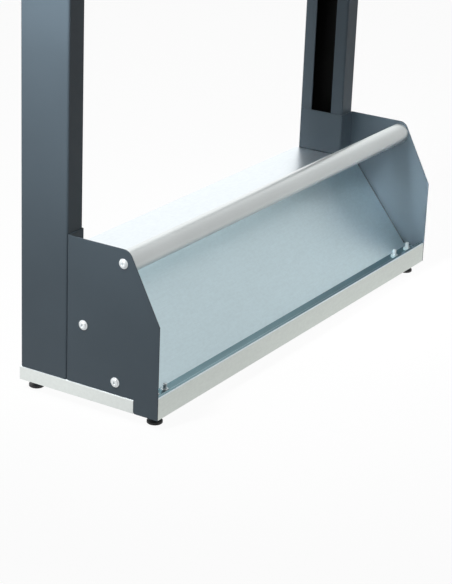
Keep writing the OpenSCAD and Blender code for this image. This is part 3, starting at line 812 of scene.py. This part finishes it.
def studio_white():
    """Lit like any matt white, but mostly plain white where the camera or a gloss sees it."""
    material = bpy.data.materials.new("floor_white")
    material.use_nodes = True
    tree = material.node_tree
    tree.nodes.clear()
    output = tree.nodes.new("ShaderNodeOutputMaterial")
    matt = tree.nodes.new("ShaderNodeBsdfDiffuse")
    matt.inputs["Color"].default_value = (FLOOR_WHITE, FLOOR_WHITE, FLOOR_WHITE, 1)
    plain = tree.nodes.new("ShaderNodeEmission")
    plain.inputs["Color"].default_value = (1, 1, 1, 1)
    path = tree.nodes.new("ShaderNodeLightPath")
    ground = tree.nodes.new("ShaderNodeTexCoord").outputs["Object"]
    strength = greying(tree, ground, FLOOR_GREYING, path)
    tree.links.new(strength, plain.inputs["Strength"])
    part = tree.nodes.new("ShaderNodeMath")
    part.operation = "MULTIPLY"
    part.inputs[1].default_value = FLOOR_SHARE
    seen = larger(tree, path.outputs["Is Camera Ray"], path.outputs["Is Glossy Ray"])
    tree.links.new(seen, part.inputs[0])
    mix = tree.nodes.new("ShaderNodeMixShader")
    tree.links.new(part.outputs["Value"], mix.inputs["Fac"])
    tree.links.new(matt.outputs["BSDF"], mix.inputs[1])
    tree.links.new(plain.outputs["Emission"], mix.inputs[2])
    tree.links.new(mix.outputs["Shader"], output.inputs["Surface"])
    return material


def add_floor():
    mesh = bpy.data.meshes.new("floor")
    half = FLOOR_SIZE / 2
    corners = [(-half, -half, 0), (half, -half, 0), (half, half, 0), (-half, half, 0)]
    mesh.from_pydata(corners, [], [(0, 1, 2, 3)])
    floor = bpy.data.objects.new("floor", mesh)
    bpy.context.scene.collection.objects.link(floor)
    dress(floor, studio_white())


def add_world():
    """Even light all round; the camera sees plain white, and a gloss sees it greyed at the front."""
    world = bpy.data.worlds.new("studio")
    bpy.context.scene.world = world
    world.use_nodes = True
    tree = world.node_tree
    tree.nodes.clear()
    output = tree.nodes.new("ShaderNodeOutputWorld")
    soft = tree.nodes.new("ShaderNodeBackground")
    soft.inputs["Color"].default_value = (*AMBIENT_COLOR, 1)
    soft.inputs["Strength"].default_value = AMBIENT_STRENGTH
    white = tree.nodes.new("ShaderNodeBackground")
    white.inputs["Color"].default_value = (WALL_WHITE, WALL_WHITE, WALL_WHITE, 1)
    path = tree.nodes.new("ShaderNodeLightPath")
    direction = tree.nodes.new("ShaderNodeTexCoord").outputs["Generated"]
    tree.links.new(greying(tree, direction, WALL_GREYING, path), white.inputs["Strength"])
    seen = larger(tree, path.outputs["Is Camera Ray"], path.outputs["Is Glossy Ray"])
    seen = larger(tree, seen, path.outputs["Is Transmission Ray"])
    mix = tree.nodes.new("ShaderNodeMixShader")
    tree.links.new(seen, mix.inputs["Fac"])
    tree.links.new(soft.outputs["Background"], mix.inputs[1])
    tree.links.new(white.outputs["Background"], mix.inputs[2])
    tree.links.new(mix.outputs["Shader"], output.inputs["Surface"])


def soft_box(name, at, towards, size, power, spread=180):
    """A rectangular lamp; its spread is in degrees, and the camera doesn't see it."""
    light = bpy.data.lights.new(name, "AREA")
    light.shape = "RECTANGLE"
    light.size, light.size_y = size
    light.energy = power
    light.spread = math.radians(spread)
    lamp = bpy.data.objects.new(name, light)
    bpy.context.scene.collection.objects.link(lamp)
    lamp.location = at
    lamp.rotation_euler = (Vector(towards) - Vector(at)).to_track_quat("-Z", "Y").to_euler()
    lamp.visible_camera = False


add_floor()
add_world()
soft_box("left_box", at=(-1.25, 0.115, 1.5), towards=(-0.5, 0.06, 0.98),
         size=(0.14, 0.5), power=10.6, spread=80)
soft_box("panel_box", at=(-0.55, -0.9, 0.42), towards=(0.5, -0.21, 0.19),
         size=(0.3, 0.14), power=0.23, spread=11)
soft_box("tray_box", at=(-0.9, -1.0, 1.5), towards=(0.34, -0.1, 0.12),
         size=(0.4, 0.4), power=0.75, spread=22)
soft_box("back_right_box", at=(2.1, 1.5, 1.15), towards=(0, 0.1, 0.2),
         size=(1.6, 1.2), power=1.8)
soft_box("back_box", at=(-0.6, 2.6, 1.5), towards=(0, 0, 0.7),
         size=(1.6, 1.6), power=10.5)
soft_box("top_box", at=(-0.4, 0.9, 3.0), towards=(0, 0, 0.2),
         size=(2.2, 1.6), power=24)


# Camera: the photograph's own viewpoint

FRAME_WIDTH = 452
FRAME_HEIGHT = 584
SENSOR = 36.0
FOCAL_PIXELS = 1869.9
NEAREST = 0.05
FURTHEST = 200
CAMERA_AT = Vector((-2.8989, -1.7438, 1.3745))
HEADING = math.radians(58.52)
TILT = math.radians(21.155)
ROLL = math.radians(2.341)


def add_camera():
    data = bpy.data.cameras.new("camera")
    data.sensor_width = SENSOR
    data.lens = FOCAL_PIXELS * SENSOR / max(FRAME_WIDTH, FRAME_HEIGHT)
    data.clip_start = NEAREST
    data.clip_end = FURTHEST
    camera = bpy.data.objects.new("camera", data)
    bpy.context.scene.collection.objects.link(camera)
    level_part = math.cos(TILT)
    ahead = Vector((math.sin(HEADING) * level_part, math.cos(HEADING) * level_part, -math.sin(TILT)))
    level = Vector((math.cos(HEADING), -math.sin(HEADING), 0))
    upright = level.cross(ahead)
    right = math.cos(ROLL) * level + math.sin(ROLL) * upright
    up = math.cos(ROLL) * upright - math.sin(ROLL) * level
    turn = Matrix((right, up, -ahead)).transposed().to_4x4()
    camera.matrix_world = Matrix.Translation(CAMERA_AT) @ turn
    bpy.context.scene.camera = camera


add_camera()
bpy.context.scene.view_settings.view_transform = "Standard"
